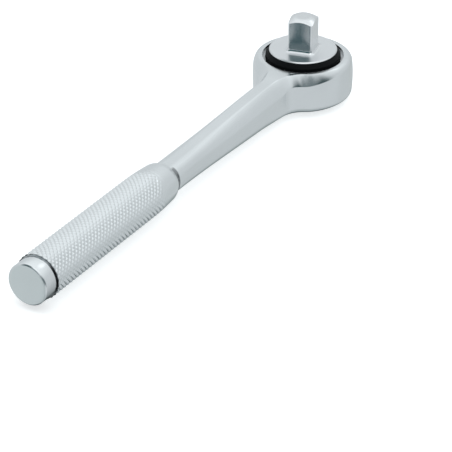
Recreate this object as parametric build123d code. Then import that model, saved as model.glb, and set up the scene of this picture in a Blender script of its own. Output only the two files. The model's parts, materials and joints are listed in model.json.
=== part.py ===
from build123d import *
import math
import os

# Half-inch square drive ratchet wrench with a round head, millimetres.
# Origin: on the drive axis, where the square's flats begin above their root fillet.
# +Z runs along the drive square, the handle lies along -X.

# ---------------------------------------------------------------- driving dimensions
SQUARE = 12.7                 # across the flats of the drive square
SQUARE_LENGTH = 15.6
SQUARE_CORNER = 1.2
SQUARE_TURN = 13.8            # degrees between the square's faces and the handle at rest
ROOT_HEIGHT = 2.0             # from the disc's face up to the start of the square's flats
ROOT_FILLET = 1.9
DISC_RADIUS = 17.1
DISC_STAND_OFF = 3.6          # disc face above the head's face
HEAD_RADIUS = 25.25
HEAD_HEIGHT = 20.8
HEAD_EDGE = 3.0               # rounding of the head's rim
HEAD_CROWN = 0.35             # how far the barrel side bulges
BORE_RADIUS = 20.5
KNOB_X = -246.6               # flat end of the handle
KNOB_RADIUS = 10.35
KNOB_LENGTH = 8.0
GROOVE_WIDTH = 0.8
GRIP_RADIUS = 11.25
TAPER_X = -152.5              # where the grip starts to narrow towards the shank
NOSE_X, NOSE_RADIUS = -136.5, 10.2
STEP_X, STEP_RADIUS = -132.8, 8.6     # the step against the shank's flat sides
RING_TEETH = 36
SELECTOR_TURN = 30.0          # degrees between the two drive directions
PAWL_ROCK = math.degrees(0.16)

# ---------------------------------------------------------------- levels along the drive axis
DISC_FACE = -ROOT_HEIGHT
HEAD_TOP = DISC_FACE - DISC_STAND_OFF
HEAD_BOTTOM = HEAD_TOP - HEAD_HEIGHT
HEAD_MIDDLE = (HEAD_TOP + HEAD_BOTTOM) / 2
HANDLE_AXIS = HEAD_MIDDLE + 0.3
CAVITY_FLOOR = HEAD_BOTTOM + 3.0
FLANGE_TOP = -9.0
FLANGE_BOTTOM = -11.8
TEETH_TOP = -12.0
POCKET_ROOF = -12.9
PAWL_TOP = -13.1
PAWL_BOTTOM = -21.4
ROTOR_BOTTOM = -21.6
COVER_BOTTOM = -22.6
WASHER_TOP = -22.7
JOURNAL_BOTTOM = HEAD_BOTTOM + 0.2
DIAL_TOP = HEAD_BOTTOM - 0.3
DIAL_BOTTOM = DIAL_TOP - 2.2
SCREW_SEAT = DIAL_TOP - 0.3

# ---------------------------------------------------------------- fits and small parts
RUNNING = 0.07                # radial clearance of a running fit
FLANGE_RADIUS = BORE_RADIUS - RUNNING
BACK_BORE_RADIUS = 11.0
JOURNAL_RADIUS = BACK_BORE_RADIUS - RUNNING
ROTOR_RADIUS = 18.3
TOOTH_TIP = 18.8
TOOTH_ROOT = 20.1
RING_GROOVE_RADIUS = 21.3
RING_GROOVE_TOP = -7.65
SEAL_OUTER = 18.85
SEAL_TOP = -2.75
SEAL_SHOULDER = -4.9          # where the seal's slope meets its upright side
POKE_HOLE = (-21.8, -6.8)
POKE_HOLE_RADIUS = 1.2
BOSS_RADIUS = 7.85
BOSS_BORE = BOSS_RADIUS + 0.05
BOSS_TOP = -21.9
STEM_RADIUS = 3.6
STEM_FLAT = 5.6
CAM_BASE = 5.5
CAM_LOBE = 7.3
LOBE_HALF_ANGLE = 11.0
SHOULDER_SCREW = 2.0
PIN_RADIUS = 1.5
PIN_FIT = 0.04
PIN_DEPTH = 2.4               # pin hole in the roof of the pawl pocket
DIAL_RADIUS = 13.5
POCKET_GAP = 0.35
BALL_RADIUS = 2.38
BALL_OUT = 0.95               # how far the ball stands out of the square's face
BALL_LEVEL = 8.0
DETENT_RADIUS = 1.2
DETENT_ORBIT = 7.2
DETENT_LEVEL = -23.5
TRACK_SLACK = 12.0            # degrees of ball track beyond each end of the selector's turn
COVER_SCREW_ORBIT = 13.5
COVER_SCREW_RADIUS = 1.2
COVER_SCREW_HEAD = 2.2
DIAL_NOTCHES = 18
DIAL_NOTCH_RADIUS = 1.3
O_RING_LEVEL = -25.7
O_RING_WIRE = 0.72

# Pawl layout, seen from the square's side: the left pawl is drawn in mesh.
PAWL_PIN = (-14.05, 6.55)
PAWL_NOSE = (-4.47, 15.57)
PAWL_TAIL = (-8.0, 1.6)
PIN_BOSS = 2.7
NOSE_BOSS = 2.2
TAIL_BOSS = 0.8
NOSE_FROM, NOSE_TO = 96.5, 113.5
TOOTH_GAP = 0.3
PLUNGER_REACH = 8.5           # from the pin to the plunger, along the pawl
PLUNGER_RADIUS = 1.4
PLUNGER_LENGTH = 3.2
PLUNGER_BORE = 1.05
PLUNGER_HOLE_DEPTH = 6.0
PLUNGER_LEVEL = (PAWL_TOP + PAWL_BOTTOM) / 2
PLUNGER_TRAVEL = PLUNGER_REACH * math.radians(PAWL_ROCK)


def save(name, shape):
    """Write one named piece as a STEP file."""
    shape.label = name
    export_step(shape, f"parts/{name}.step")


def barrel(radius, low, high):
    """A cylinder on the drive axis between two levels."""
    base_up = (Align.CENTER, Align.CENTER, Align.MIN)
    return Pos(0, 0, low) * Cylinder(radius, high - low, align=base_up)


def ring(outer, inner, low, high):
    """A flat ring on the drive axis between two levels."""
    return barrel(outer, low, high) - barrel(inner, low - 1, high + 1)


def rod(start, direction, radius, length):
    """A round rod that starts at a point and runs along a direction."""
    base_up = (Align.CENTER, Align.CENTER, Align.MIN)
    return Plane(origin=start, z_dir=direction) * Cylinder(radius, length, align=base_up)


def slab(sketch, low, high):
    """A flat outline raised between two levels."""
    return extrude(Pos(0, 0, low) * sketch, high - low)


def polar(radius, degrees):
    """The plan position at a radius and an angle from +X."""
    return (radius * math.cos(math.radians(degrees)), radius * math.sin(math.radians(degrees)))


def wedge(inner, outer, start, stop):
    """A sector of a flat ring between two angles."""
    reach = 2 * outer
    corner = Polygon((0, 0), polar(reach, start), polar(reach, stop), align=None)
    return (Circle(outer) - Circle(inner)) & corner


def capsule(first, first_radius, second, second_radius):
    """The outline of a belt round two circles."""
    one = Pos(*first) * Circle(first_radius)
    other = Pos(*second) * Circle(second_radius)
    return make_hull(one.edges() + other.edges())


def coil(start, direction, radius, wire, length, turns):
    """A compression spring that starts at a point and runs along a direction."""
    pitch = (length - 2 * wire) / turns
    path = Helix(pitch=pitch, height=length - 2 * wire, radius=radius)
    section = Plane(origin=path @ 0, z_dir=path % 0) * Circle(wire)
    spring = sweep(section, path=path, is_frenet=True)
    return Plane(origin=start, z_dir=direction) * Pos(0, 0, wire) * spring


# ---------------------------------------------------------------- handle
def tooth_outline(root, tip, root_half, tip_half):
    """The bore's tooth outline: spaces at every whole pitch, tooth tips half-way between."""
    pitch = 360 / RING_TEETH
    points = []
    for index in range(RING_TEETH):
        space = index * pitch
        points.append(polar(root, space - root_half))
        points.append(polar(root, space + root_half))
        points.append(polar(tip, space + pitch / 2 - tip_half))
        points.append(polar(tip, space + pitch / 2 + tip_half))
    return Polygon(*points, align=None)


def head_solid():
    """The round head: a barrel side between two rounded rims."""
    side = HEAD_RADIUS - HEAD_CROWN
    flat = side - HEAD_EDGE
    top_corner = (side, HEAD_TOP - HEAD_EDGE)
    low_corner = (side, HEAD_BOTTOM + HEAD_EDGE)
    outline = [
        Line((0, HEAD_BOTTOM), (flat, HEAD_BOTTOM)),
        RadiusArc((flat, HEAD_BOTTOM), low_corner, -HEAD_EDGE),
        ThreePointArc(low_corner, (HEAD_RADIUS, HEAD_MIDDLE), top_corner),
        RadiusArc(top_corner, (flat, HEAD_TOP), -HEAD_EDGE),
        Line((flat, HEAD_TOP), (0, HEAD_TOP)),
        Line((0, HEAD_TOP), (0, HEAD_BOTTOM)),
    ]
    return revolve(Plane.XZ * make_face(outline), Axis.Z)


def bar_section(x, level, half_width, half_height, facet, drop, rounding):
    """A bevelled and rounded bar section: facet is half the flat top, drop the bevel's height."""
    low = half_height - drop
    quarter = [(half_width, low), (facet, half_height)]
    points = quarter + [(-y, z) for y, z in reversed(quarter)]
    points += [(-y, -z) for y, z in quarter] + [(y, -z) for y, z in reversed(quarter)]
    outline = Polygon(*points, align=None)
    place = Plane(origin=(x, 0, level), x_dir=(0, 1, 0), z_dir=(1, 0, 0))
    return place * fillet(outline.vertices(), rounding)


def shank_solid():
    """The flat-sided shank and the neck that flares into the head."""
    full = HEAD_HEIGHT / 2
    waist = bar_section(-36, HEAD_MIDDLE, 8.0, 9.9, 3.6, 6.4, 3.5)
    shank = loft([bar_section(STEP_X - 8, HANDLE_AXIS - 0.1, 8.0, 7.1, 4.6, 3.4, 5.0), waist])
    neck = loft([
        waist,
        bar_section(-31, HEAD_MIDDLE, 8.5, 10.25, 4.3, 6.4, 3.2),
        bar_section(-26.5, HEAD_MIDDLE, 10.2, full, 6.6, 5.6, 2.8),
        bar_section(-22.5, HEAD_MIDDLE, 13.0, full, 9.8, 4.6, 2.4),
        bar_section(-19, HEAD_MIDDLE, 16.0, full, 13.2, 3.8, 2.0),
    ])
    return shank + neck


def grip_solid():
    """The turned grip: end knob, groove, knurled stretch and tapered nose."""
    groove_x = KNOB_X + KNOB_LENGTH
    grip_back = groove_x + GROOVE_WIDTH
    edge = 0.6
    back = [
        (KNOB_X, 0),
        (KNOB_X, KNOB_RADIUS - edge),
        (KNOB_X + edge, KNOB_RADIUS),
        (groove_x, KNOB_RADIUS),
        (groove_x, KNOB_RADIUS - edge),
        (grip_back, KNOB_RADIUS - edge),
        (grip_back, GRIP_RADIUS - edge),
        (grip_back + edge, GRIP_RADIUS),
        (TAPER_X, GRIP_RADIUS),
    ]
    outline = [
        Polyline(*back),
        ThreePointArc(back[-1], (-144.3, 10.82), (NOSE_X, NOSE_RADIUS)),
        ThreePointArc((NOSE_X, NOSE_RADIUS), (-134.65, 9.67), (STEP_X, STEP_RADIUS)),
        Polyline((STEP_X, STEP_RADIUS), (STEP_X, 0), back[0]),
    ]
    turned = revolve(Plane.XZ * make_face(outline), Axis.X)
    return Pos(0, 0, HANDLE_AXIS) * turned


def handle():
    """The one-piece forging: head with toothed bore, neck, shank and grip."""
    forging = head_solid() + shank_solid() + grip_solid()
    poke_x, poke_y = POKE_HOLE
    poke_angle = math.degrees(math.atan2(poke_y, poke_x))
    forging -= barrel(BORE_RADIUS, TEETH_TOP, HEAD_TOP + 1)
    forging -= slab(tooth_outline(TOOTH_ROOT, TOOTH_TIP, 0.6, 0.5), CAVITY_FLOOR, TEETH_TOP + 0.5)
    forging -= barrel(BACK_BORE_RADIUS, HEAD_BOTTOM - 1, CAVITY_FLOOR + 1)
    forging -= barrel(RING_GROOVE_RADIUS, FLANGE_TOP, RING_GROOVE_TOP)
    forging -= rod((poke_x, poke_y, FLANGE_TOP), (0, 0, 1), POKE_HOLE_RADIUS, 10)
    link = Pos(BORE_RADIUS, 0) * Rectangle(6, POKE_HOLE_RADIUS, align=(Align.MIN, Align.CENTER))
    link &= Circle(math.hypot(poke_x, poke_y))
    forging -= Rot(0, 0, poke_angle) * slab(link, FLANGE_TOP, RING_GROOVE_TOP)
    return forging


def retaining_ring():
    """The split ring in the bore that keeps the rotor in."""
    middle = (FLANGE_TOP + RING_GROOVE_TOP) / 2
    gap = Rot(0, 0, 16) * Pos(-RING_GROOVE_RADIUS, 0, middle) * Box(8, 5, 4)
    inner = SEAL_OUTER + 0.45
    return ring(RING_GROOVE_RADIUS - 0.1, inner, FLANGE_TOP + 0.1, RING_GROOVE_TOP - 0.05) - gap


def thrust_washer():
    """The washer between the rotor's cover and the floor of the head."""
    return ring(17.5, JOURNAL_RADIUS + 0.2, CAVITY_FLOOR + 0.05, WASHER_TOP)


# ---------------------------------------------------------------- pawls
def mirrored(shape):
    """The same shape on the other side of the handle's plane."""
    return mirror(shape, about=Plane.XZ)


def turned_about_pin(shape, degrees):
    """A plan shape or solid turned about the left pawl's pin."""
    x, y = PAWL_PIN
    return Pos(x, y, 0) * Rot(0, 0, degrees) * Pos(-x, -y, 0) * shape


def pawl_outline(grow):
    """The left pawl in mesh, grown all round by a gap, before its teeth are cut."""
    arm = capsule(PAWL_PIN, PIN_BOSS + grow, PAWL_NOSE, NOSE_BOSS + grow)
    tail = capsule(PAWL_PIN, PIN_BOSS - 0.6 + grow, PAWL_TAIL, TAIL_BOSS + grow)
    spread = math.degrees(grow / TOOTH_TIP)
    nose = wedge(15.0, TOOTH_ROOT, NOSE_FROM - spread, NOSE_TO + spread)
    return arm + tail + nose


def pawl_in_mesh():
    """The left pawl, with its teeth in the bore's tooth spaces."""
    teeth = tooth_outline(TOOTH_ROOT - TOOTH_GAP, TOOTH_TIP - TOOTH_GAP, 0.3, 1.1)
    outline = (pawl_outline(0) & teeth) - Pos(*PAWL_PIN) * Circle(PIN_RADIUS + PIN_FIT)
    return slab(outline, PAWL_BOTTOM, PAWL_TOP)


def pawl_left():
    return pawl_in_mesh()


def pawl_right():
    """The other hand, drawn held out of mesh by the cam."""
    return mirrored(turned_about_pin(pawl_in_mesh(), -PAWL_ROCK))


def pawl_pocket():
    """The plan space that the left pawl sweeps, with a gap all round."""
    steps = 4
    pocket = pawl_outline(POCKET_GAP)
    for step in range(1, steps + 1):
        pocket += turned_about_pin(pawl_outline(POCKET_GAP), -PAWL_ROCK * step / steps)
    return pocket


def pawl_pin():
    """The pin on which the left pawl rocks, held in the rotor and in the cover."""
    foot = COVER_BOTTOM + 0.1
    return rod((*PAWL_PIN, foot), (0, 0, 1), PIN_RADIUS, POCKET_ROOF + PIN_DEPTH - 0.1 - foot)


def plunger_line():
    """Where the left plunger touches its pawl, and the way in from there."""
    along = Vector(PAWL_NOSE[0] - PAWL_PIN[0], PAWL_NOSE[1] - PAWL_PIN[1], 0).normalized()
    inward = Vector(along.Y, -along.X, 0)
    arm = math.dist(PAWL_NOSE, PAWL_PIN)
    half_width = PIN_BOSS - (PIN_BOSS - NOSE_BOSS) * PLUNGER_REACH / arm
    pin = Vector(*PAWL_PIN, PLUNGER_LEVEL)
    return pin + along * PLUNGER_REACH + inward * (half_width + 0.1), inward


def plunger_hole():
    touch, inward = plunger_line()
    return rod(touch, inward, PLUNGER_RADIUS + 0.05, PLUNGER_HOLE_DEPTH)


def pawl_plunger():
    """A domed cup that presses on the pawl, drawn with the pawl in mesh."""
    touch, inward = plunger_line()
    cup = rod(touch, inward, PLUNGER_RADIUS, PLUNGER_LENGTH)
    cup = fillet(cup.edges().filter_by(GeomType.CIRCLE).sort_by_distance(touch)[0], 0.7)
    return cup - rod(touch + inward * 1.1, inward, PLUNGER_BORE, PLUNGER_LENGTH)


def pawl_spring(squeeze):
    """The coil inside the plunger, shortened by the plunger's travel."""
    touch, inward = plunger_line()
    top = 1.15 + squeeze
    length = PLUNGER_HOLE_DEPTH - 0.05 - top
    return coil(touch + inward * top, inward, 0.78, 0.2, length, 6)


def plunger_shift():
    """The plunger's travel when its pawl is held out of mesh."""
    return Pos(*(plunger_line()[1] * PLUNGER_TRAVEL))


# ---------------------------------------------------------------- rotor and square
def square_end_cutter():
    """The turned outline that rounds the end of the square."""
    cone_low, cone_high, flat = (10, SQUARE_LENGTH - 3.1), (5.4, SQUARE_LENGTH - 0.35), 3.4
    foot = DISC_FACE - 2
    outline = [
        Polyline((0, foot), (10, foot), cone_low, cone_high),
        ThreePointArc(cone_high, (4.5, SQUARE_LENGTH - 0.1), (flat, SQUARE_LENGTH)),
        Polyline((flat, SQUARE_LENGTH), (0, SQUARE_LENGTH), (0, foot)),
    ]
    return revolve(Plane.XZ * make_face(outline), Axis.Z)


def drive_square():
    """The drive square with its rounded end, down into the disc."""
    base_up = (Align.CENTER, Align.CENTER, Align.MIN)
    foot = DISC_FACE - 1
    post = Pos(0, 0, foot) * Box(SQUARE, SQUARE, SQUARE_LENGTH + 1 - foot, align=base_up)
    post = fillet(post.edges().filter_by(Axis.Z), SQUARE_CORNER)
    post &= square_end_cutter()
    return Rot(0, 0, SQUARE_TURN) * post


def ball_axis():
    """The way from the square's centre out through the ball."""
    return Vector(*polar(1, SQUARE_TURN), 0)


def disc_and_square():
    """The disc with the square on it, and the fillet round the square's root."""
    disc = barrel(DISC_RADIUS, FLANGE_TOP, DISC_FACE)
    disc = chamfer(disc.edges().sort_by(Axis.Z)[-1], 0.5)
    joined = disc + drive_square()
    face_edges = joined.edges().filter_by_position(Axis.Z, DISC_FACE - 0.01, DISC_FACE + 0.01)
    return fillet([edge for edge in face_edges if edge.length < SQUARE], ROOT_FILLET)


def drive_rotor():
    """Square, disc, flange and the toothless core that carries the pawls."""
    core = barrel(ROTOR_RADIUS, ROTOR_BOTTOM, FLANGE_BOTTOM)
    core += barrel(FLANGE_RADIUS, FLANGE_BOTTOM, FLANGE_TOP)
    core += disc_and_square()
    outward = ball_axis()
    core -= rod(outward * -2 + Vector(0, 0, BALL_LEVEL), outward, BALL_RADIUS + 0.06, 12)
    sweep_half = SELECTOR_TURN / 2 + LOBE_HALF_ANGLE + 6
    cavity = Circle(CAM_BASE + 0.4) + wedge(1, CAM_LOBE + 0.4, 180 - sweep_half, 180 + sweep_half)
    pocket = pawl_pocket()
    cavity += pocket + mirrored(pocket)
    core -= slab(cavity, ROTOR_BOTTOM - 1, POCKET_ROOF)
    for side in (plunger_hole(), mirrored(plunger_hole())):
        core -= side
    pin_hole = rod((*PAWL_PIN, POCKET_ROOF - 1), (0, 0, 1), PIN_RADIUS + 0.02, PIN_DEPTH + 1)
    core -= pin_hole + mirrored(pin_hole)
    core -= barrel(1.62, POCKET_ROOF - 1, -7.5)
    for place in cover_screw_places():
        core -= rod((*place, ROTOR_BOTTOM - 1), (0, 0, 1), COVER_SCREW_RADIUS + 0.02, 7.2)
    return core


def cover_screw_places():
    return [polar(COVER_SCREW_ORBIT, angle) for angle in (-60, 0, 60)]


def rotor_cover():
    """The flanged bush that closes the pawl pockets and runs in the head's back bore."""
    cover = ring(ROTOR_RADIUS, BOSS_BORE, COVER_BOTTOM, ROTOR_BOTTOM)
    cover += ring(JOURNAL_RADIUS, BOSS_BORE, JOURNAL_BOTTOM, COVER_BOTTOM)
    wide, narrow = COVER_SCREW_HEAD + 0.05, COVER_SCREW_RADIUS + 0.05
    for place in cover_screw_places():
        cover -= Pos(*place, COVER_BOTTOM + 0.5) * Cone(wide, narrow, 1.0)
    for x, y in (PAWL_PIN, (PAWL_PIN[0], -PAWL_PIN[1])):
        cover -= rod((x, y, COVER_BOTTOM - 1), (0, 0, 1), PIN_RADIUS + 0.02, 3)
    track = Pos(DETENT_ORBIT, 0) * Circle(DETENT_RADIUS + 0.1)
    sweep_angle = SELECTOR_TURN + 2 * TRACK_SLACK
    track = Rot(0, 0, TRACK_SLACK) * revolve(Plane.XZ * track, Axis.Z, -sweep_angle)
    return cover - Pos(0, 0, DETENT_LEVEL) * track


def cover_screws():
    """The countersunk screws that hold the cover."""
    screws = []
    for place in cover_screw_places():
        screw = Pos(*place, COVER_BOTTOM + 0.5) * Cone(COVER_SCREW_HEAD, COVER_SCREW_RADIUS, 0.96)
        screw += rod((*place, ROTOR_BOTTOM - 0.1), (0, 0, 1), COVER_SCREW_RADIUS, 5.6)
        screw -= Pos(*place, COVER_BOTTOM) * Box(3.0, 0.5, 0.7)
        screw -= Pos(*place, COVER_BOTTOM) * Box(0.5, 3.0, 0.7)
        screws.append(screw)
    return Compound(children=screws)


def seal_ring():
    """The black rubber ring round the disc, with a slope from its top down to its side."""
    inner, foot = DISC_RADIUS + 0.05, FLANGE_TOP + 0.05
    outline = Polygon(
        (inner, foot),
        (SEAL_OUTER, foot),
        (SEAL_OUTER, SEAL_SHOULDER),
        (inner + 0.25, SEAL_TOP),
        (inner, SEAL_TOP),
        align=None,
    )
    seal = revolve(Plane.XZ * outline, Axis.Z)
    shoulder = seal.edges().filter_by_position(Axis.Z, SEAL_SHOULDER - 0.01, SEAL_SHOULDER + 0.01)
    return fillet(shoulder, 0.6)


def anvil_ball():
    centre = ball_axis() * (SQUARE / 2 + BALL_OUT - BALL_RADIUS) + Vector(0, 0, BALL_LEVEL)
    return Pos(*centre) * Sphere(BALL_RADIUS)


def anvil_spring():
    outward = ball_axis()
    start = outward * -1.95 + Vector(0, 0, BALL_LEVEL)
    length = SQUARE / 2 + BALL_OUT - 2 * BALL_RADIUS + 1.9
    return coil(start, outward, 1.65, 0.28, length, 4)


# ---------------------------------------------------------------- selector
def selector_dial():
    """The thumb dial on the back, with its boss and the stem that turns the cam."""
    disc = barrel(DIAL_RADIUS, DIAL_BOTTOM, DIAL_TOP)
    disc = fillet(disc.edges().group_by(Axis.Z)[0], 0.7)
    for index in range(DIAL_NOTCHES):
        x, y = polar(DIAL_RADIUS + 0.5, index * 360 / DIAL_NOTCHES)
        disc -= rod((x, y, DIAL_BOTTOM - 1), (0, 0, 1), DIAL_NOTCH_RADIUS, 5)
    dial = disc + barrel(BOSS_RADIUS, DIAL_TOP, BOSS_TOP)
    stem = barrel(STEM_RADIUS, BOSS_TOP - 1, PAWL_TOP - 0.5) & Box(STEM_FLAT, 20, 80)
    dial += stem
    dial -= barrel(SHOULDER_SCREW + 0.1, DIAL_BOTTOM - 1, PAWL_TOP)
    dial -= barrel(3.95, DIAL_BOTTOM - 1, SCREW_SEAT)
    dial -= rod((DETENT_ORBIT - 3.9, 0, DETENT_LEVEL), (1, 0, 0), DETENT_RADIUS + 0.05, 6)
    dial -= ring(10, BOSS_RADIUS - 1.45, O_RING_LEVEL - 0.8, O_RING_LEVEL + 0.8)
    arrow = Polygon((-7.2, 0), (-10.6, 1.7), (-10.6, -1.7), align=None)
    dial -= Rot(0, 0, 15) * slab(arrow, DIAL_BOTTOM - 0.5, DIAL_BOTTOM + 0.4)
    return dial


def selector_cam():
    """The cam that lifts one pawl and frees the other."""
    lobe_angle = 180 + SELECTOR_TURN / 2
    lobe = wedge(1, CAM_LOBE, lobe_angle - LOBE_HALF_ANGLE, lobe_angle + LOBE_HALF_ANGLE)
    hole = Circle(STEM_RADIUS + 0.03) & Rectangle(STEM_FLAT + 0.06, 20)
    return slab(Circle(CAM_BASE) + lobe - hole, BOSS_TOP + 0.1, PAWL_TOP - 0.3)


def selector_screw():
    """The shoulder screw on which the dial and cam turn."""
    screw = barrel(SHOULDER_SCREW, SCREW_SEAT - 0.1, POCKET_ROOF - 0.1)
    screw += barrel(1.6, POCKET_ROOF - 0.1, -7.8)
    head = barrel(3.6, SCREW_SEAT - 1.6, SCREW_SEAT - 0.1)
    head = fillet(head.edges().group_by(Axis.Z)[0], 0.5)
    slot = Pos(0, 0, SCREW_SEAT - 1.6) * Box(8, 0.9, 1.4)
    return screw + head - slot


def selector_o_ring():
    """The sealing ring in the dial's boss."""
    return Pos(0, 0, O_RING_LEVEL) * Torus(BOSS_RADIUS - O_RING_WIRE + 0.01, O_RING_WIRE)


def detent_ball():
    return Pos(DETENT_ORBIT, 0, DETENT_LEVEL) * Sphere(DETENT_RADIUS)


def detent_spring():
    start = DETENT_ORBIT - 3.85
    length = 3.85 - DETENT_RADIUS - 0.05
    return coil((start, 0, DETENT_LEVEL), (1, 0, 0), 0.8, 0.18, length, 4)


PIECES = {
    "handle": handle,
    "retaining_ring": retaining_ring,
    "thrust_washer": thrust_washer,
    "drive_rotor": drive_rotor,
    "rotor_cover": rotor_cover,
    "cover_screws": cover_screws,
    "seal_ring": seal_ring,
    "anvil_ball": anvil_ball,
    "anvil_spring": anvil_spring,
    "pawl_left": pawl_left,
    "pawl_right": pawl_right,
    "pawl_pin_left": pawl_pin,
    "pawl_pin_right": lambda: mirrored(pawl_pin()),
    "pawl_plunger_left": pawl_plunger,
    "pawl_plunger_right": lambda: mirrored(plunger_shift() * pawl_plunger()),
    "pawl_spring_left": lambda: pawl_spring(0),
    "pawl_spring_right": lambda: mirrored(pawl_spring(PLUNGER_TRAVEL)),
    "selector_dial": selector_dial,
    "selector_cam": selector_cam,
    "selector_screw": selector_screw,
    "selector_o_ring": selector_o_ring,
    "detent_ball": detent_ball,
    "detent_spring": detent_spring,
}

os.makedirs("parts", exist_ok=True)
for piece, build in PIECES.items():
    save(piece, build())
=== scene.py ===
import json
import math

import bmesh
import bpy
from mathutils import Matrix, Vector
from mathutils.geometry import tessellate_polygon

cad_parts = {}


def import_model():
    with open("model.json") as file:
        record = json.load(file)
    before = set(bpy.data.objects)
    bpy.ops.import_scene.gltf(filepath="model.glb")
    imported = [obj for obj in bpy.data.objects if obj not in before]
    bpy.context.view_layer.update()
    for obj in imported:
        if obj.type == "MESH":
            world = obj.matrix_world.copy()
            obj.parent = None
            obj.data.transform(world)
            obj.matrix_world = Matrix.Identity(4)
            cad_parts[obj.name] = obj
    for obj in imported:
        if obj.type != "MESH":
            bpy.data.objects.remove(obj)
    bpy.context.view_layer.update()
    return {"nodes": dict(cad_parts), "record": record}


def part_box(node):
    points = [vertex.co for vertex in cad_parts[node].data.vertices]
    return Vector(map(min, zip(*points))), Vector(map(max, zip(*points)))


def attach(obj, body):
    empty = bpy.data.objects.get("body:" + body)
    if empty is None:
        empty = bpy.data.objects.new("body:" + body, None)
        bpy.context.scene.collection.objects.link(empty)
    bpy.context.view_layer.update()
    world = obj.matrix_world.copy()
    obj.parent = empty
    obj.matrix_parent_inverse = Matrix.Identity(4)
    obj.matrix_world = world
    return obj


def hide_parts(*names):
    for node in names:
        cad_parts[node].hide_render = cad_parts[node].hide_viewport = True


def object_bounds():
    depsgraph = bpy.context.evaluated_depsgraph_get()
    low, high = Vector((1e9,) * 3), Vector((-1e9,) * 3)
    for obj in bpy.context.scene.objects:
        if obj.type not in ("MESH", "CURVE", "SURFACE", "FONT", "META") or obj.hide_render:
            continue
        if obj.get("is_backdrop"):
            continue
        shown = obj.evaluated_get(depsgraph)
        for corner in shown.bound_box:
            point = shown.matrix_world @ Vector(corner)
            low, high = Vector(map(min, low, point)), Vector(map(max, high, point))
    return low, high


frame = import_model()

# ---------------------------------------------------------------- driving dimensions (mm)
MM = 0.001                       # one millimetre in the frame's metres
HANDLE_LOW, HANDLE_HIGH = (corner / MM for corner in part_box("handle"))
CLIP_LOW, CLIP_HIGH = (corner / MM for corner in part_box("retaining_ring"))
ROTOR_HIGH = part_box("drive_rotor")[1] / MM
WASHER_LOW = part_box("thrust_washer")[0] / MM

# The head, its bore and its teeth.
HEAD_RADIUS = HANDLE_HIGH.x
HEAD_HALF = 10.4                 # half the head's height
AXIS_LIFT = 0.3                  # the handle's axis above the head's middle
HANDLE_AXIS = (HANDLE_HIGH.z + HANDLE_LOW.z) / 2
HEAD_MIDDLE = HANDLE_AXIS - AXIS_LIFT
HEAD_TOP = HEAD_MIDDLE + HEAD_HALF
HEAD_BOTTOM = HEAD_MIDDLE - HEAD_HALF
BORE_RADIUS = ROTOR_HIGH.x + 0.07    # with the rotor's running clearance
BORE_EDGE = 0.15                 # rounding of the bore's rim
BACK_BORE = 11.0
BACK_BORE_EDGE = 0.3
CAVITY_FLOOR = WASHER_LOW.z - 0.05
RING_TEETH = 36
TOOTH_LENGTH = 11.4
TEETH_TOP = CAVITY_FLOOR + TOOTH_LENGTH
TOOTH_TIP = 18.8
TOOTH_ROOT = 20.1
CLIP_GROOVE = CLIP_HIGH.y + 0.1  # radius of the retaining ring's groove
CLIP_GROOVE_LOW = CLIP_LOW.z - 0.1
CLIP_GROOVE_HIGH = CLIP_HIGH.z + 0.05
POKE_HOLE = (-22.3, -6.3)        # the small hole beside the bore
POKE_RADIUS = 1.0
DISC_DEPTH = 17.3                # from the square's end to just above the disc's face

# The shank and the grip.
SHANK_HALF_WIDTH = 8.0
NECK_FILLET = 12.0
STEP_X, STEP_RADIUS = -132.8, 8.6    # the nose's front edge, where the shank starts
NOSE_X, NOSE_RADIUS = -136.5, 10.2
TAPER_X = -152.5                 # the grip is a plain cylinder behind this
GRIP_RADIUS = (HANDLE_HIGH.z - HANDLE_LOW.z) / 2
KNOB_X = HANDLE_LOW.x            # the handle's flat end
KNOB_RADIUS = 10.35
KNOB_LENGTH = 8.0
GROOVE_X = KNOB_X + KNOB_LENGTH
GROOVE_WIDTH = 0.8
GROOVE_RADIUS = 9.75
KNURL_DEPTH = 0.34
KNURL_ROOT = GRIP_RADIUS - KNURL_DEPTH
KNURL_BACK = GROOVE_X + GROOVE_WIDTH
KNURL_FRONT = -145.4


# ---------------------------------------------------------------- mesh helpers
class Shell:
    """Collects points in millimetres and faces, and makes one mesh object."""

    def __init__(self):
        self.points = []
        self.faces = []

    def add(self, points):
        """Adds points and returns their indices."""
        start = len(self.points)
        self.points.extend(points)
        return list(range(start, len(self.points)))

    def bridge(self, first, second, closed=True):
        """Joins two equally long rows or rings of points with a band of quads."""
        count = len(first)
        for index in range(count if closed else count - 1):
            after = (index + 1) % count
            self.faces.append((first[index], first[after], second[after], second[index]))

    def fan(self, ring, centre):
        """Closes a ring with triangles to one point."""
        for index in range(len(ring)):
            self.faces.append((ring[index], ring[(index + 1) % len(ring)], centre))

    def fill(self, loops):
        """Fills a flat outline, the first loop, round holes, the other loops."""
        flat = [[Vector(self.points[i]) for i in loop] for loop in loops]
        order = [i for loop in loops for i in loop]
        for triangle in tessellate_polygon(flat):
            self.faces.append(tuple(order[i] for i in triangle))

    def make(self, name, smooth_angle=None):
        mesh = bpy.data.meshes.new(name)
        mesh.from_pydata([tuple(c * MM for c in p) for p in self.points], [], self.faces)
        cleaner = bmesh.new()
        cleaner.from_mesh(mesh)
        bmesh.ops.remove_doubles(cleaner, verts=cleaner.verts, dist=2e-6)
        bmesh.ops.dissolve_degenerate(cleaner, edges=cleaner.edges, dist=1e-6)
        bmesh.ops.recalc_face_normals(cleaner, faces=cleaner.faces)
        cleaner.to_mesh(mesh)
        cleaner.free()
        piece = bpy.data.objects.new(name, mesh)
        bpy.context.scene.collection.objects.link(piece)
        if smooth_angle is not None:
            mesh.shade_smooth()
            mesh.set_sharp_from_angle(angle=math.radians(smooth_angle))
        return piece


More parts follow.
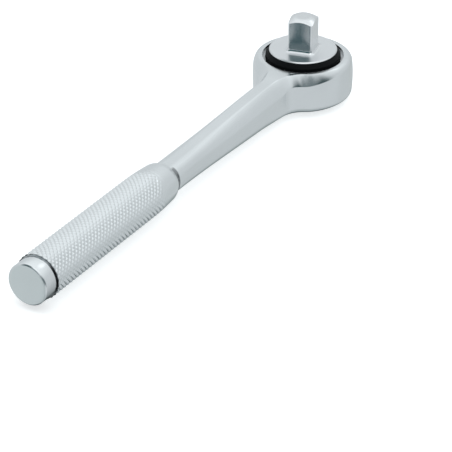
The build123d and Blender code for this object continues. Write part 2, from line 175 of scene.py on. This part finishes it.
def blend_keys(keys, value):
    """Smoothly follows a list of (position, amount) keys."""
    if value <= keys[0][0]:
        return keys[0][1]
    for (low, before), (high, after) in zip(keys, keys[1:]):
        if value <= high:
            share = (value - low) / (high - low)
            share = share * share * (3 - 2 * share)
            return before + (after - before) * share
    return keys[-1][1]


# ---------------------------------------------------------------- the forging: head, neck and shank
FILLET_CENTRE_Y = SHANK_HALF_WIDTH + NECK_FILLET
FILLET_CENTRE_X = -math.sqrt((HEAD_RADIUS + NECK_FILLET) ** 2 - FILLET_CENTRE_Y ** 2)
FILLET_TURN = math.acos(FILLET_CENTRE_Y / (HEAD_RADIUS + NECK_FILLET))
SHANK_LENGTH = FILLET_CENTRE_X - STEP_X
FILLET_LENGTH = NECK_FILLET * FILLET_TURN
HEAD_ARC = HEAD_RADIUS * (math.pi / 2 + FILLET_TURN)

# How the section changes along the outline, by distance from the neck fillet's start. The upper
# and the lower edge's rounding each have a width, a depth and a superellipse power.
INSET_KEYS = [
    (-95, 5.4), (-4, 5.2), (4, 3.8), (7, 2.95), (16, 2.3), (25, 2.2), (35, 3.0), (45, 3.2),
]
DROP_KEYS = [(-95, 5.6), (-4, 7.0), (6, 5.2), (12, 5.8), (25, 4.0), (35, 3.4), (45, 3.2)]
EDGE_KEYS = [(-95, 1.05), (-30, 1.5), (-4, 1.6), (4, 1.85), (22, 1.8), (34, 1.1), (45, 1.0)]
LOWER_INSET_KEYS = [(-95, 5.4), (-20, 5.2), (2, 3.4), (14, 2.8), (30, 3.2)]
LOWER_DROP_KEYS = [(-95, 5.6), (-20, 6.0), (2, 4.0), (14, 3.2), (30, 3.2)]
LOWER_EDGE_KEYS = [(-95, 1.05), (-30, 1.15), (4, 1.0)]
HALF_KEYS = [(-96, 7.15), (-6, 10.0), (4, HEAD_HALF)]          # half the height
LEVEL_KEYS = [(-95, HANDLE_AXIS - 0.1), (-4, HEAD_MIDDLE)]     # the middle's level
CROWN_KEYS = [(-95, 0.25), (0, 0.1), (14, 0.0), (30, 0.35)]    # how far the side bulges
SEAM_START, SEAM_END = 1.6, 2.1  # past the nose: waisted to the first, full from the second
SEAM_KEYS = [(-SHANK_LENGTH + SEAM_START, 0.4), (-SHANK_LENGTH + SEAM_END, 0.0)]
FLAT_MARGIN = 0.25               # flat strip that keeps the edges' rounding off the faces
CORNER_STEPS = 12
SIDE_STEPS = 8
SHANK_STEPS = 30
FILLET_STEPS = 26
HEAD_STEPS = 84
FACET_COLUMNS = 4
FACET_END = 2                    # how far past the fillet's start the shank's facets reach


def outline_stops():
    """Distances along the near side's outline, from the nose to the far end of the head."""
    seam = (0, SEAM_START / 2, SEAM_START, 1.75, 1.9, SEAM_END)
    stops = [-SHANK_LENGTH + step for step in seam]
    stops += [(SEAM_END - SHANK_LENGTH) * (1 - i / SHANK_STEPS) for i in range(1, SHANK_STEPS)]
    stops += [FILLET_LENGTH * i / FILLET_STEPS for i in range(FILLET_STEPS)]
    stops += [FILLET_LENGTH + HEAD_ARC * i / HEAD_STEPS for i in range(HEAD_STEPS + 1)]
    return stops


def outline_point(distance):
    """Place and outward direction on the near side's outline."""
    if distance <= 0:
        return (FILLET_CENTRE_X + distance, -SHANK_HALF_WIDTH), (0.0, -1.0)
    if distance <= FILLET_LENGTH:
        turn = distance / NECK_FILLET
        away = (-math.sin(turn), -math.cos(turn))
        x = FILLET_CENTRE_X - away[0] * NECK_FILLET
        y = -FILLET_CENTRE_Y - away[1] * NECK_FILLET
        return (x, y), away
    turn = (distance - FILLET_LENGTH) / HEAD_RADIUS
    angle = math.pi * 1.5 - FILLET_TURN + turn
    away = (math.cos(angle), math.sin(angle))
    return (away[0] * HEAD_RADIUS, away[1] * HEAD_RADIUS), away


def rim_corner(distance, inset_keys, drop_keys, edge_keys):
    """One rounded edge from a facet to the side: (offset outward, depth below the facet)."""
    inset, drop = blend_keys(inset_keys, distance), blend_keys(drop_keys, distance)
    power, crown = blend_keys(edge_keys, distance), blend_keys(CROWN_KEYS, distance)
    seam = blend_keys(SEAM_KEYS, distance)
    corner = [(-inset - crown - FLAT_MARGIN, 0.0)]
    for step in range(CORNER_STEPS + 1):
        turn = math.pi / 2 * step / CORNER_STEPS
        offset = -inset * (1 - math.sin(turn) ** power) - crown - seam * math.sin(turn) ** 3
        corner.append((offset, drop * (1 - math.cos(turn) ** power)))
    return corner


def rim_profile(distance):
    """The section from the top facet's edge to the bottom one's: (offset outward, height)."""
    half, crown = blend_keys(HALF_KEYS, distance), blend_keys(CROWN_KEYS, distance)
    seam = blend_keys(SEAM_KEYS, distance)
    above = rim_corner(distance, INSET_KEYS, DROP_KEYS, EDGE_KEYS)
    below = rim_corner(distance, LOWER_INSET_KEYS, LOWER_DROP_KEYS, LOWER_EDGE_KEYS)
    upper = [(offset, half - depth) for offset, depth in above]
    lower = [(offset, depth - half) for offset, depth in reversed(below)]
    high, low = upper[-1][1], lower[0][1]
    side = []
    crease = FLAT_MARGIN / (high - low)
    for share in [crease, *(step / SIDE_STEPS for step in range(1, SIDE_STEPS)), 1 - crease]:
        bulge = crown * (2 * share - 1) ** 2
        side.append((-bulge - seam, high + (low - high) * share))
    return upper + side + lower


def section(distance, sign):
    """The rim's points at one stop, on the near side (sign 1) or the far side (-1)."""
    (x, y), (away_x, away_y) = outline_point(distance)
    level = blend_keys(LEVEL_KEYS, distance)
    return [
        (x + offset * away_x, sign * (y + offset * away_y), level + height)
        for offset, height in rim_profile(distance)
    ]


def circle_points(angles, radius, level):
    return [(radius * math.cos(a), radius * math.sin(a), level) for a in angles]


def tooth_angles():
    """Four angles for each tooth: both ends of the space's floor and of the tooth's tip."""
    pitch = 2 * math.pi / RING_TEETH
    floor_half, tip_half = math.radians(0.6), math.radians(0.5)
    angles = []
    for index in range(RING_TEETH):
        space = index * pitch
        tip = space + pitch / 2
        angles += [space - floor_half, space + floor_half, tip - tip_half, tip + tip_half]
    return angles


def tooth_ring(level):
    radii = [TOOTH_ROOT, TOOTH_ROOT, TOOTH_TIP, TOOTH_TIP] * RING_TEETH
    return [(r * math.cos(a), r * math.sin(a), level) for a, r in zip(tooth_angles(), radii)]


def blank_radius(x):
    """The turned grip's radius before knurling: a cylinder, a slow taper and a rounded nose."""
    if x <= TAPER_X:
        return GRIP_RADIUS
    if x <= NOSE_X:
        start, end, first, last, bow = TAPER_X, NOSE_X, GRIP_RADIUS, NOSE_RADIUS, 0.09
    else:
        start, end, first, last, bow = NOSE_X, STEP_X, NOSE_RADIUS, STEP_RADIUS, 0.27
    share = (x - start) / (end - start)
    return first + (last - first) * share + 4 * bow * share * (1 - share)


def grip_profile():
    """The turned part of the handle as (x, radius), from the nose's step to the end face."""
    profile = [(STEP_X, STEP_RADIUS - 0.2)]

    # The nose and the taper in front of the knurl.
    steps = 30
    bare = STEP_X - 0.12 - (KNURL_FRONT + 0.3)
    for i in range(steps + 1):
        x = STEP_X - 0.12 - bare * i / steps
        profile.append((x, blank_radius(x)))

    # The core hidden under the knurl, then the groove beside the knob.
    core = KNURL_ROOT - 0.12
    profile += [
        (KNURL_FRONT - 0.3, core),
        (KNURL_BACK + 0.4, core),
        (KNURL_BACK + 0.05, core - 0.1),
        (KNURL_BACK, GROOVE_RADIUS),
        (GROOVE_X, GROOVE_RADIUS),
        (GROOVE_X - 0.12, 10.2),
    ]

    # The knob with its chamfered edge and its slightly domed end face.
    profile += [
        (GROOVE_X - 0.3, KNOB_RADIUS),
        (KNOB_X + 0.68, KNOB_RADIUS),
        (KNOB_X + 0.55, KNOB_RADIUS - 0.08),
        (KNOB_X + 0.07, KNOB_RADIUS - 0.68),
        (KNOB_X + 0.06, KNOB_RADIUS - 0.78),
        (KNOB_X + 0.04, 8.0),
        (KNOB_X + 0.005, 3.0),
    ]
    return profile


def forging():
    """One closed mesh for the whole forging, with bore, teeth, groove, nose, grip core and knob."""
    shell = Shell()
    stops = outline_stops()
    near = [shell.add(section(d, 1)) for d in stops]
    far = [shell.add(section(d, -1)) for d in stops[:-1]] + [near[-1]]
    for first, second in zip(near, near[1:]):
        shell.bridge(first, second, closed=False)
    for first, second in zip(far, far[1:]):
        shell.bridge(first, second, closed=False)

    # The shank's top and bottom facets, in columns between the near and far edges.
    flat_from = next(i for i, d in enumerate(stops) if d >= FACET_END)
    strips = {}
    for end in (0, -1):
        rows = []
        for i in range(flat_from + 1):
            a, b = shell.points[near[i][end]], shell.points[far[i][end]]
            inner = [
                tuple(p + (q - p) * c / FACET_COLUMNS for p, q in zip(a, b))
                for c in range(1, FACET_COLUMNS)
            ]
            rows.append([near[i][end], *shell.add(inner), far[i][end]])
        for first, second in zip(rows, rows[1:]):
            shell.bridge(first, second, closed=False)
        strips[end] = rows

    # The bore, from the top face down to the back face.
    angles = tooth_angles()
    bore = [
        circle_points(angles, BORE_RADIUS + BORE_EDGE + FLAT_MARGIN, HEAD_TOP),
        circle_points(angles, BORE_RADIUS + BORE_EDGE, HEAD_TOP),
        circle_points(angles, BORE_RADIUS + 0.04, HEAD_TOP - 0.04),
        circle_points(angles, BORE_RADIUS, HEAD_TOP - BORE_EDGE),
        circle_points(angles, BORE_RADIUS, CLIP_GROOVE_HIGH),
        circle_points(angles, CLIP_GROOVE, CLIP_GROOVE_HIGH),
        circle_points(angles, CLIP_GROOVE, CLIP_GROOVE_LOW),
        circle_points(angles, BORE_RADIUS, CLIP_GROOVE_LOW),
        circle_points(angles, BORE_RADIUS, TEETH_TOP),
        tooth_ring(TEETH_TOP),
        tooth_ring(CAVITY_FLOOR),
        circle_points(angles, BACK_BORE, CAVITY_FLOOR),
        circle_points(angles, BACK_BORE, HEAD_BOTTOM + BACK_BORE_EDGE),
        circle_points(angles, BACK_BORE + BACK_BORE_EDGE, HEAD_BOTTOM),
    ]
    rings = [shell.add(points) for points in bore]
    for first, second in zip(rings, rings[1:]):
        shell.bridge(first, second)

    # The small hole beside the bore.
    turn = [2 * math.pi * i / 24 for i in range(24)]
    hole = [
        shell.add([
            (POKE_HOLE[0] + r * math.cos(a), POKE_HOLE[1] + r * math.sin(a), z) for a in turn
        ])
        for r, z in [
            (POKE_RADIUS + 0.1, HEAD_TOP),
            (POKE_RADIUS, HEAD_TOP - 0.1),
            (POKE_RADIUS, CLIP_GROOVE_LOW),
        ]
    ]
    shell.bridge(hole[0], hole[1])
    shell.bridge(hole[1], hole[2])
    shell.fan(hole[2], shell.add([(*POKE_HOLE, CLIP_GROOVE_LOW - 0.6)])[0])

    # The head's flat top and bottom faces.
    for end, openings in ((0, [rings[0], hole[0]]), (-1, [rings[-1]])):
        outer = [near[i][end] for i in range(flat_from, len(stops))]
        outer += [far[i][end] for i in range(len(stops) - 2, flat_from - 1, -1)]
        outer += strips[end][flat_from][-2:0:-1]
        shell.fill([outer, *openings])

    # The nose, grip core and knob are turned about the handle's own axis.
    start = near[0] + strips[-1][0][1:-1] + far[0][::-1] + strips[0][0][-2:0:-1]
    turns = [
        math.atan2(shell.points[i][2] - HANDLE_AXIS, shell.points[i][1]) for i in start
    ]
    previous = start
    for x, radius in grip_profile():
        ring = shell.add([
            (x, radius * math.cos(a), HANDLE_AXIS + radius * math.sin(a)) for a in turns
        ])
        shell.bridge(previous, ring)
        previous = ring
    shell.fan(previous, shell.add([(KNOB_X, 0, HANDLE_AXIS)])[0])
    return shell.make("handle_forging", smooth_angle=32)


# ---------------------------------------------------------------- knurl
def knurl():
    """Diamond knurling as small flat-topped pyramids between two sets of helical grooves."""
    starts = 25
    axial_pitch = 2.63
    land = 0.24                  # size of a diamond's flat top, as a share of the diamond
    last_sink = 0.03             # the last row's tops lie this far under the bare taper
    root_limit = 0.1             # near the front the grooves rise to the bare taper
    root_start, root_slope = 0.02, 0.015
    half_rows = 2 * round((KNURL_FRONT - KNURL_BACK) / axial_pitch)
    half_pitch = (KNURL_FRONT - KNURL_BACK) / half_rows
    shell = Shell()
    known = {}

    def place(row, column, radius):
        angle = math.pi * column / starts
        x = KNURL_BACK + row * half_pitch
        reach = min(radius, blank_radius(x) - (last_sink if row >= half_rows - 0.01 else 0))
        return (x, reach * math.cos(angle), HANDLE_AXIS + reach * math.sin(angle))

    def corner(row, column):
        key = (row, column % (2 * starts))
        if key not in known:
            x = KNURL_BACK + row * half_pitch
            sink = min(root_limit, root_start + root_slope * (KNURL_FRONT - x))
            known[key] = shell.add([place(*key, min(KNURL_ROOT, blank_radius(x) - sink))])[0]
        return known[key]

    for row in range(half_rows + 1):
        for column in range(row % 2, 2 * starts, 2):
            ways = [(0, 1), (1, 0), (0, -1), (-1, 0)]
            ways = [way for way in ways if 0 <= row + way[0] <= half_rows]
            corners = [corner(row + r, column + c) for r, c in ways]
            tops = shell.add([
                place(row + r * land, column + c * land, GRIP_RADIUS) for r, c in ways
            ])
            whole = len(ways) == 4
            shell.faces.append(tuple(tops))
            for index in range(len(ways)):
                after = (index + 1) % len(ways)
                if not whole and ways[index][1] and ways[after][1]:
                    continue
                shell.faces.append((corners[index], corners[after], tops[after], tops[index]))
    return shell.make("grip_knurl")


# ---------------------------------------------------------------- material helpers
def new_material(name):
    material = bpy.data.materials.new(name)
    material.use_nodes = True
    nodes = material.node_tree.nodes
    return material, nodes, material.node_tree.links, nodes["Principled BSDF"]


def noise(nodes, links, vector, scale, detail):
    cloud = nodes.new("ShaderNodeTexNoise")
    cloud.inputs["Scale"].default_value = scale
    cloud.inputs["Detail"].default_value = detail
    links.new(vector, cloud.inputs["Vector"])
    return cloud.outputs["Fac"]


def mixed(nodes, links, factor, first, second):
    """A colour that goes from first, a colour or a socket, to the colour second."""
    mix = nodes.new("ShaderNodeMix")
    mix.data_type = "RGBA"
    if isinstance(first, tuple):
        mix.inputs["A"].default_value = (*first, 1)
    else:
        links.new(first, mix.inputs["A"])
    mix.inputs["B"].default_value = (*second, 1)
    links.new(factor, mix.inputs["Factor"])
    return mix.outputs["Result"]


def relief(nodes, links, shader, height, strength, distance):
    """A fine bump; distance is in metres."""
    bump = nodes.new("ShaderNodeBump")
    bump.inputs["Strength"].default_value = strength
    bump.inputs["Distance"].default_value = distance
    links.new(height, bump.inputs["Height"])
    links.new(bump.outputs["Normal"], shader.inputs["Normal"])


def ramp(nodes, links, value, empty, full):
    """A smooth 0 to 1 between two values."""
    reach = nodes.new("ShaderNodeMapRange")
    reach.interpolation_type = "SMOOTHSTEP"
    reach.inputs["From Min"].default_value = empty
    reach.inputs["From Max"].default_value = full
    links.new(value, reach.inputs["Value"])
    return reach.outputs["Result"]


def product(nodes, links, factors):
    amount = factors[0]
    for factor in factors[1:]:
        times = nodes.new("ShaderNodeMath")
        times.operation = "MULTIPLY"
        links.new(amount, times.inputs[0])
        links.new(factor, times.inputs[1])
        amount = times.outputs["Value"]
    return amount


# ---------------------------------------------------------------- materials
def metal(name, colour, dark, roughness, spread, grain, stretch=(1, 1, 1)):
    """Plated or ground steel: slight tone and roughness variation and a fine directional grain."""
    material, nodes, links, shader = new_material(name)
    shader.inputs["Metallic"].default_value = 1.0
    place = nodes.new("ShaderNodeTexCoord").outputs["Object"]
    scale = nodes.new("ShaderNodeMapping")
    scale.inputs["Scale"].default_value = stretch
    links.new(place, scale.inputs["Vector"])
    cloud = noise(nodes, links, place, scale=60, detail=4)
    fine = noise(nodes, links, scale.outputs["Vector"], scale=grain, detail=3)
    links.new(mixed(nodes, links, cloud, dark, colour), shader.inputs["Base Color"])
    rough = nodes.new("ShaderNodeMapRange")
    rough.inputs["From Min"].default_value = 0.3
    rough.inputs["From Max"].default_value = 0.7
    rough.inputs["To Min"].default_value = roughness - spread
    rough.inputs["To Max"].default_value = roughness + spread
    links.new(fine, rough.inputs["Value"])
    links.new(rough.outputs["Result"], shader.inputs["Roughness"])
    relief(nodes, links, shader, fine, strength=0.02, distance=0.2 * MM)
    return material


def rubber(name):
    """Black moulded rubber with a fine dull skin."""
    material, nodes, links, shader = new_material(name)
    place = nodes.new("ShaderNodeTexCoord").outputs["Object"]
    skin = noise(nodes, links, place, scale=900, detail=5)
    tone = mixed(nodes, links, skin, (0.002, 0.0025, 0.003), (0.005, 0.006, 0.007))
    links.new(tone, shader.inputs["Base Color"])
    shader.inputs["Roughness"].default_value = 0.6
    shader.inputs["Specular IOR Level"].default_value = 0.12
    relief(nodes, links, shader, skin, strength=0.08, distance=0.1 * MM)
    return material


def paint_shade(material, closeness, tint, depth):
    """Paints shade into a metal's colour, darkening it towards tint where closeness(nodes, links,
    point) comes to 1.
    """
    nodes, links = material.node_tree.nodes, material.node_tree.links
    base = nodes["Principled BSDF"].inputs["Base Color"]
    place = nodes.new("ShaderNodeTexCoord").outputs["Object"]
    limit = nodes.new("ShaderNodeMath")
    limit.operation = "MULTIPLY"
    limit.inputs[1].default_value = depth
    links.new(closeness(nodes, links, place), limit.inputs[0])
    shaded = mixed(nodes, links, limit.outputs["Value"], base.links[0].from_socket, tint)
    links.new(shaded, base)


def zone_between(start, end, soft, top, bottom):
    """A stretch of the handle's length, fading in from the height top down to bottom (mm)."""
    def closeness(nodes, links, point):
        axes = nodes.new("ShaderNodeSeparateXYZ")
        links.new(point, axes.inputs[0])
        return product(nodes, links, [
            ramp(nodes, links, axes.outputs["X"], (start - soft) * MM, start * MM),
            ramp(nodes, links, axes.outputs["X"], (end + soft) * MM, end * MM),
            ramp(nodes, links, axes.outputs["Z"],
                 (HANDLE_AXIS + top) * MM, (HANDLE_AXIS + bottom) * MM),
        ])
    return closeness


def roughen_below(material, level, extra):
    """A duller, brushed surface below a height (mm), such as the disc round the square."""
    nodes, links = material.node_tree.nodes, material.node_tree.links
    rough = nodes["Principled BSDF"].inputs["Roughness"]
    axes = nodes.new("ShaderNodeSeparateXYZ")
    links.new(nodes.new("ShaderNodeTexCoord").outputs["Object"], axes.inputs[0])
    amount = ramp(nodes, links, axes.outputs["Z"], (level + 0.1) * MM, (level - 0.1) * MM)
    add = nodes.new("ShaderNodeMath")
    add.operation = "MULTIPLY_ADD"
    add.inputs[1].default_value = extra
    links.new(amount, add.inputs[0])
    links.new(rough.links[0].from_socket, add.inputs[2])
    links.new(add.outputs["Value"], rough)


# Name, light and dark tone, roughness, its spread, and the grain's scale.
MATERIALS = {
    "forging_chrome": metal(
        "satin_chrome", (0.83, 0.85, 0.86), (0.78, 0.8, 0.81), 0.2, 0.03, 900,
        stretch=(0.15, 1, 1)),
    "drive_chrome": metal(
        "bright_chrome", (0.83, 0.84, 0.85), (0.79, 0.8, 0.81), 0.19, 0.03, 1400),
    "dial_chrome": metal("dial_chrome", (0.82, 0.83, 0.84), (0.76, 0.77, 0.78), 0.22, 0.04, 1100),
    "seal_rubber": rubber("seal_rubber"),
    "inner_steel": metal("hardened_steel", (0.5, 0.5, 0.5), (0.4, 0.4, 0.41), 0.3, 0.06, 1200),
    "screw_steel": metal("zinc_steel", (0.5, 0.51, 0.54), (0.4, 0.41, 0.43), 0.28, 0.05, 1500),
    "spring_steel": metal("spring_wire", (0.6, 0.61, 0.62), (0.5, 0.5, 0.51), 0.35, 0.05, 1600),
    "ball_steel": metal("ball_steel", (0.85, 0.85, 0.86), (0.8, 0.8, 0.81), 0.06, 0.01, 1600),
    "washer_brass": metal("washer_brass", (0.8, 0.62, 0.3), (0.66, 0.48, 0.2), 0.3, 0.06, 1200),
}

# Painted shade: the corner in front of the nose, the groove beside the knob and the knob's
# underside are painted darker, as their shadow.
PAINTED_SHADE = (0.05, 0.055, 0.06)
for zone, depth in [
    (zone_between(STEP_X + 0.05, STEP_X + 2.4, soft=0.4, top=7.0, bottom=6.4), 0.65),
    (zone_between(GROOVE_X - 0.1, KNURL_BACK + 0.1, soft=0.1, top=10.4, bottom=5.0), 0.75),
    (zone_between(KNOB_X + 0.9, GROOVE_X - 0.1, soft=0.5, top=5.5, bottom=-9.5), 0.72),
]:
    paint_shade(MATERIALS["forging_chrome"], zone, PAINTED_SHADE, depth)
roughen_below(MATERIALS["drive_chrome"], ROTOR_HIGH.z - DISC_DEPTH, 0.12)


# ---------------------------------------------------------------- the pieces
def dress(piece, slot_name):
    piece.data.materials.clear()
    piece.data.materials.append(MATERIALS[slot_name])


for row in frame["record"]["subparts"]:
    node = frame["nodes"][row["node"]]
    for holder in node.material_slots:
        holder.material = MATERIALS[row["material_slot"]]

handle_forging = forging()
dress(handle_forging, "forging_chrome")
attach(handle_forging, "handle_body")
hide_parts("handle")

grip_knurl = knurl()
dress(grip_knurl, "forging_chrome")
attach(grip_knurl, "handle_body")


# ---------------------------------------------------------------- floor, light and camera
def floor():
    """A plain pale floor just under the lowest point of the tool, lit a little from itself."""
    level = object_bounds()[0].z - 0.05 * MM
    mesh = bpy.data.meshes.new("floor")
    reach = 12.0                 # metres each way
    corners = [(-reach, -reach), (reach, -reach), (reach, reach), (-reach, reach)]
    mesh.from_pydata([(x, y, level) for x, y in corners], [], [(0, 1, 2, 3)])
    plane = bpy.data.objects.new("floor", mesh)
    bpy.context.scene.collection.objects.link(plane)
    material, nodes, links, shader = new_material("floor_white")
    shader.inputs["Base Color"].default_value = (0.9, 0.905, 0.91, 1)
    shader.inputs["Roughness"].default_value = 0.9
    shader.inputs["Emission Color"].default_value = (1, 1, 1, 1)
    shader.inputs["Emission Strength"].default_value = 0.55
    mesh.materials.append(material)
    plane.visible_glossy = False
    plane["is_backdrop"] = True


def direction(azimuth, elevation):
    """A unit vector by compass angle from +X and height, in degrees."""
    a, e = math.radians(azimuth), math.radians(elevation)
    return Vector((math.cos(a) * math.cos(e), math.sin(a) * math.cos(e), math.sin(e)))


# Soft zones of the studio: azimuth, elevation, inner and outer half angle in degrees, colour.
# A later zone lies over the earlier ones.
STUDIO_BASE = (0.66, 0.7, 0.72)
STUDIO_ZONES = [
    (0, 90, 20, 75, (0.95, 1.0, 1.02)),
    (338, 55, 4, 12, (1.25, 1.3, 1.33)),
    (211, 62, 8, 26, (1.25, 1.3, 1.32)),
    (325, -25, 8, 30, (0.6, 0.64, 0.655)),
    (0, -90, 5, 60, (0.42, 0.47, 0.48)),
    (15, -47, 4, 28, (0.33, 0.38, 0.38)),
    (21, -65, 8, 28, (0.05, 0.075, 0.08)),
    (350, -12, 6, 24, (0.57, 0.61, 0.62)),
    (149, -29, 10, 30, (0.61, 0.67, 0.68)),
    (222, 8, 8, 24, (0.17, 0.21, 0.22)),
    (254, 6, 12, 25, (0.03, 0.06, 0.065)),
    (180, 24, 16, 26, (0.02, 0.075, 0.09)),
    (146, 36, 16, 28, (0.07, 0.11, 0.12)),
    (178, -29, 14, 24, (0.0, 0.05, 0.07)),
]


def world():
    """A pale studio with soft brighter and darker zones, like cards and soft boxes."""
    sky = bpy.data.worlds.new("studio")
    bpy.context.scene.world = sky
    sky.use_nodes = True
    nodes, links = sky.node_tree.nodes, sky.node_tree.links
    background = nodes["Background"]
    place = nodes.new("ShaderNodeTexCoord")
    colour = STUDIO_BASE
    for azimuth, elevation, inner, outer, tint in STUDIO_ZONES:
        facing = nodes.new("ShaderNodeVectorMath")
        facing.operation = "DOT_PRODUCT"
        facing.inputs[1].default_value = direction(azimuth, elevation)
        links.new(place.outputs["Generated"], facing.inputs[0])
        empty, full = (math.cos(math.radians(angle)) for angle in (outer, inner))
        amount = ramp(nodes, links, facing.outputs["Value"], empty, full)
        colour = mixed(nodes, links, amount, colour, tint)
    links.new(colour, background.inputs["Color"])


def camera():
    """A long lens beyond the grip's end, to its near side, 29 degrees above the floor."""
    target = Vector((KNOB_X + 193.91, 13.52, -83.05)) * MM
    distance = 1511.57 * MM
    turn, height = math.radians(-59.07), math.radians(29.34)
    back = Vector((
        math.sin(turn) * math.cos(height), -math.cos(turn) * math.cos(height), math.sin(height),
    ))
    data = bpy.data.cameras.new("view")
    data.lens = 238.9
    data.sensor_width = 36
    data.clip_start, data.clip_end = 0.01, 50
    eye = bpy.data.objects.new("view", data)
    bpy.context.scene.collection.objects.link(eye)
    eye.location = target + back * distance
    eye.rotation_mode = "QUATERNION"
    eye.rotation_quaternion = (-back).to_track_quat("-Z", "Y")
    bpy.context.scene.camera = eye


floor()
world()
camera()
bpy.context.scene.view_settings.view_transform = "Standard"
